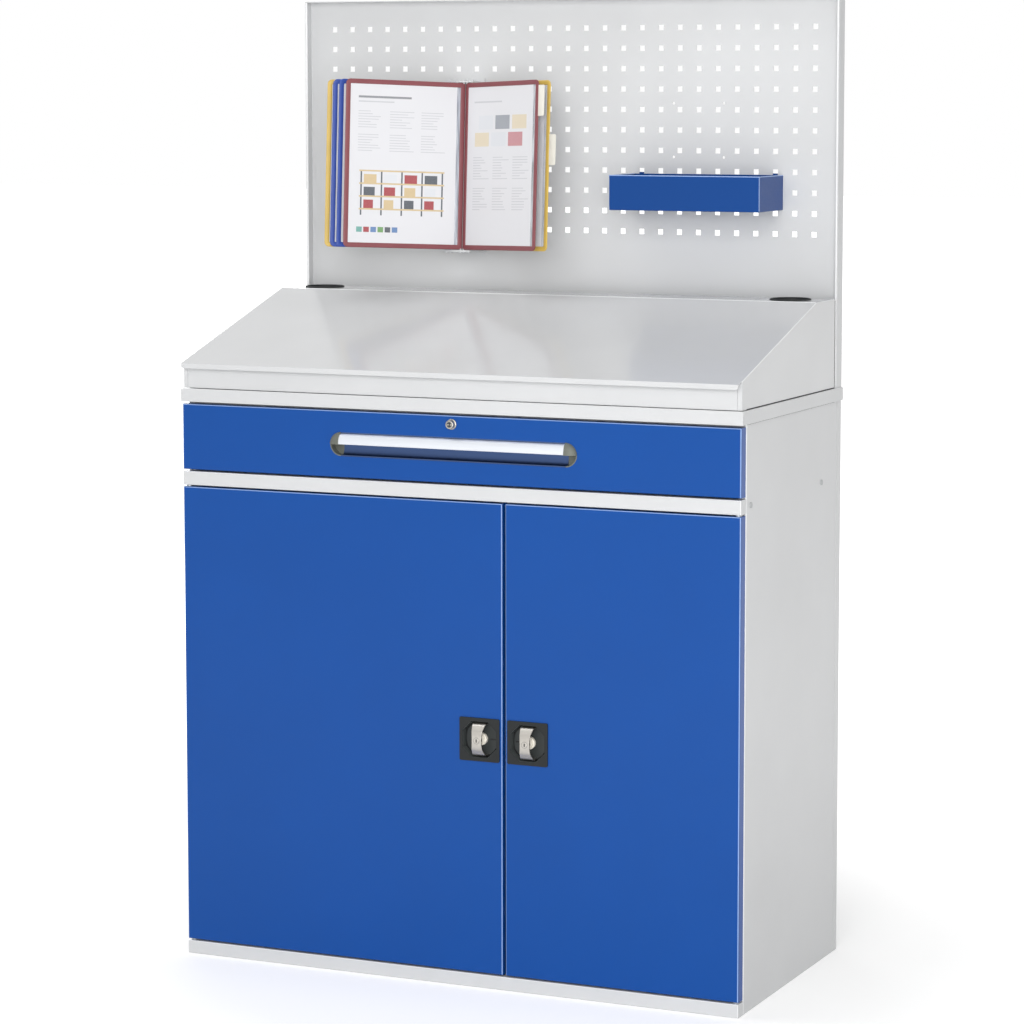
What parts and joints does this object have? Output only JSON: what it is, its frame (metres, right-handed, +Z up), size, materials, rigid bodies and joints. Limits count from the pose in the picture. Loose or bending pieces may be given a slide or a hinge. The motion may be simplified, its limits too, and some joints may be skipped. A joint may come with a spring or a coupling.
{
  "type": "lectern cabinet",
  "caption": "Standing desk cabinet of folded sheet steel with hinged cupboard doors, a drawer, a sloped writing top and a perforated panel with tray and page display.",
  "frame": {"origin": "on the floor, under the middle of the bounding box", "axes": "+X to the right seen from the front, +Y to the back, +Z up"},
  "size_m": [1.1, 0.535, 1.77],
  "materials": {
    "grey_powder_coat": "satin",
    "blue_powder_coat": "satin",
    "zinc_plated_steel": "satin",
    "nickel_plated_lock": "polished",
    "satin_lever_metal": "satin",
    "drawn_aluminium": "satin",
    "black_plastic": "satin",
    "grey_plastic": "satin",
    "red_page_plastic": "satin",
    "blue_page_plastic": "satin",
    "yellow_page_plastic": "satin",
    "pocket_and_sheet": "satin"
  },
  "bodies": {
    "cabinet": {"left_side": "grey_powder_coat", "right_side": "grey_powder_coat", "back_panel": "grey_powder_coat", "bottom_panel": "grey_powder_coat", "plinth_rail": "grey_powder_coat", "middle_rail": "grey_powder_coat", "top_rail": "grey_powder_coat", "divider_panel": "grey_powder_coat", "partition": "grey_powder_coat", "top_cover": "grey_powder_coat", "left_shelf": "grey_powder_coat", "right_shelf": "grey_powder_coat", "shelf_brackets": "zinc_plated_steel", "fixing_screws": "zinc_plated_steel", "hinge_pins": "zinc_plated_steel", "desk_shell": "grey_powder_coat", "desk_front": "grey_powder_coat", "pen_cups": "black_plastic", "rear_panel": "grey_powder_coat", "accessory_tray": "blue_powder_coat", "display_bracket": "grey_powder_coat", "left_runner_outer": "zinc_plated_steel", "right_runner_outer": "zinc_plated_steel"},
    "drawer": {"drawer_front": "blue_powder_coat", "drawer_box": "grey_powder_coat", "drawer_grip": "drawn_aluminium", "grip_caps": "grey_plastic", "drawer_lock_barrel": "nickel_plated_lock", "left_runner_inner": "zinc_plated_steel", "right_runner_inner": "zinc_plated_steel"},
    "drawer_lock": {"drawer_lock_plug": "nickel_plated_lock"},
    "left_runner": {"left_runner_middle": "zinc_plated_steel"},
    "right_runner": {"right_runner_middle": "zinc_plated_steel"},
    "left_door": {"left_door": "blue_powder_coat", "left_escutcheon": "black_plastic"},
    "left_handle": {"left_lever": "satin_lever_metal", "left_lever_base": "black_plastic"},
    "left_key": {"left_key_plug": "nickel_plated_lock"},
    "left_upper_rod": {"left_upper_rod": "zinc_plated_steel"},
    "left_lower_rod": {"left_lower_rod": "zinc_plated_steel"},
    "right_door": {"right_door": "blue_powder_coat", "right_escutcheon": "black_plastic"},
    "right_handle": {"right_lever": "satin_lever_metal", "right_lever_base": "black_plastic"},
    "right_key": {"right_key_plug": "nickel_plated_lock"},
    "right_upper_rod": {"right_upper_rod": "zinc_plated_steel"},
    "right_lower_rod": {"right_lower_rod": "zinc_plated_steel"},
    "left_page_1": {"left_page_1_frame": "red_page_plastic", "left_page_1_insert": "pocket_and_sheet"},
    "left_page_2": {"left_page_2_frame": "blue_page_plastic", "left_page_2_insert": "pocket_and_sheet"},
    "left_page_3": {"left_page_3_frame": "blue_page_plastic", "left_page_3_insert": "pocket_and_sheet"},
    "left_page_4": {"left_page_4_frame": "yellow_page_plastic", "left_page_4_insert": "pocket_and_sheet"},
    "right_page_1": {"right_page_1_frame": "red_page_plastic", "right_page_1_insert": "pocket_and_sheet"},
    "right_page_2": {"right_page_2_frame": "yellow_page_plastic", "right_page_2_insert": "pocket_and_sheet"}
  },
  "joints": [
    {"name": "drawer_slide", "type": "slide", "parent": "cabinet", "child": "drawer", "axis": [0, -1, 0], "range_m": [0, 0.4]},
    {"name": "drawer_lock_turn", "type": "hinge", "parent": "drawer", "child": "drawer_lock", "pos_m": [0, -0.2525, 1.013], "axis": [0, 1, 0], "range_deg": [0, 90]},
    {"name": "left_runner_slide", "type": "slide", "parent": "cabinet", "child": "left_runner", "axis": [0, -1, 0], "range_m": [0, 0.2]},
    {"name": "right_runner_slide", "type": "slide", "parent": "cabinet", "child": "right_runner", "axis": [0, -1, 0], "range_m": [0, 0.2]},
    {"name": "left_door_hinge", "type": "hinge", "parent": "cabinet", "child": "left_door", "pos_m": [-0.539, -0.2415, 0.45175], "axis": [0, 0, -1], "range_deg": [0, 110]},
    {"name": "left_handle_turn", "type": "hinge", "parent": "left_door", "child": "left_handle", "pos_m": [0.0542, -0.2525, 0.45175], "axis": [0, -1, 0], "range_deg": [0, 90]},
    {"name": "left_key_turn", "type": "hinge", "parent": "left_handle", "child": "left_key", "pos_m": [0.0542, -0.2625, 0.45175], "axis": [0, -1, 0], "range_deg": [0, 90]},
    {"name": "left_upper_rod_slide", "type": "slide", "parent": "left_door", "child": "left_upper_rod", "axis": [0, 0, 1], "range_m": [0, 0.0142]},
    {"name": "left_lower_rod_slide", "type": "slide", "parent": "left_door", "child": "left_lower_rod", "axis": [0, 0, -1], "range_m": [0, 0.0142]},
    {"name": "right_door_hinge", "type": "hinge", "parent": "cabinet", "child": "right_door", "pos_m": [0.539, -0.2415, 0.45175], "axis": [0, 0, 1], "range_deg": [0, 110]},
    {"name": "right_handle_turn", "type": "hinge", "parent": "right_door", "child": "right_handle", "pos_m": [0.1478, -0.2525, 0.45175], "axis": [0, -1, 0], "range_deg": [0, 90]},
    {"name": "right_key_turn", "type": "hinge", "parent": "right_handle", "child": "right_key", "pos_m": [0.1478, -0.2625, 0.45175], "axis": [0, -1, 0], "range_deg": [0, 90]},
    {"name": "right_upper_rod_slide", "type": "slide", "parent": "right_door", "child": "right_upper_rod", "axis": [0, 0, 1], "range_m": [0, 0.0142]},
    {"name": "right_lower_rod_slide", "type": "slide", "parent": "right_door", "child": "right_lower_rod", "axis": [0, 0, -1], "range_m": [0, 0.0142]},
    {"name": "left_page_1_turn", "type": "hinge", "parent": "cabinet", "child": "left_page_1", "pos_m": [-0.1935, 0.2005, 1.4555], "axis": [0, 0.0576, 0.9983], "range_deg": [0, 98]},
    {"name": "left_page_2_turn", "type": "hinge", "parent": "cabinet", "child": "left_page_2", "pos_m": [-0.2035, 0.2005, 1.4555], "axis": [0, 0.0576, 0.9983], "range_deg": [0, 4]},
    {"name": "left_page_3_turn", "type": "hinge", "parent": "cabinet", "child": "left_page_3", "pos_m": [-0.2135, 0.2005, 1.4555], "axis": [0, 0.0576, 0.9983], "range_deg": [0, 4]},
    {"name": "left_page_4_turn", "type": "hinge", "parent": "cabinet", "child": "left_page_4", "pos_m": [-0.2235, 0.2005, 1.4555], "axis": [0, 0.0576, 0.9983], "range_deg": [0, 4]},
    {"name": "right_page_1_turn", "type": "hinge", "parent": "cabinet", "child": "right_page_1", "pos_m": [-0.1865, 0.2005, 1.4555], "axis": [0, 0.0576, 0.9983], "range_deg": [-98, 0]},
    {"name": "right_page_2_turn", "type": "hinge", "parent": "cabinet", "child": "right_page_2", "pos_m": [-0.1765, 0.2005, 1.4555], "axis": [0, 0.0576, 0.9983], "range_deg": [-4, 0]}
  ],
  "couplings": [
    {"joint": "left_runner_slide", "follows": "drawer_slide", "ratio": 0.5},
    {"joint": "right_runner_slide", "follows": "drawer_slide", "ratio": 0.5},
    {"joint": "left_upper_rod_slide", "follows": "left_handle_turn", "m_per_rad": 0.009},
    {"joint": "left_lower_rod_slide", "follows": "left_handle_turn", "m_per_rad": 0.009},
    {"joint": "right_upper_rod_slide", "follows": "right_handle_turn", "m_per_rad": 0.009},
    {"joint": "right_lower_rod_slide", "follows": "right_handle_turn", "m_per_rad": 0.009}
  ]
}
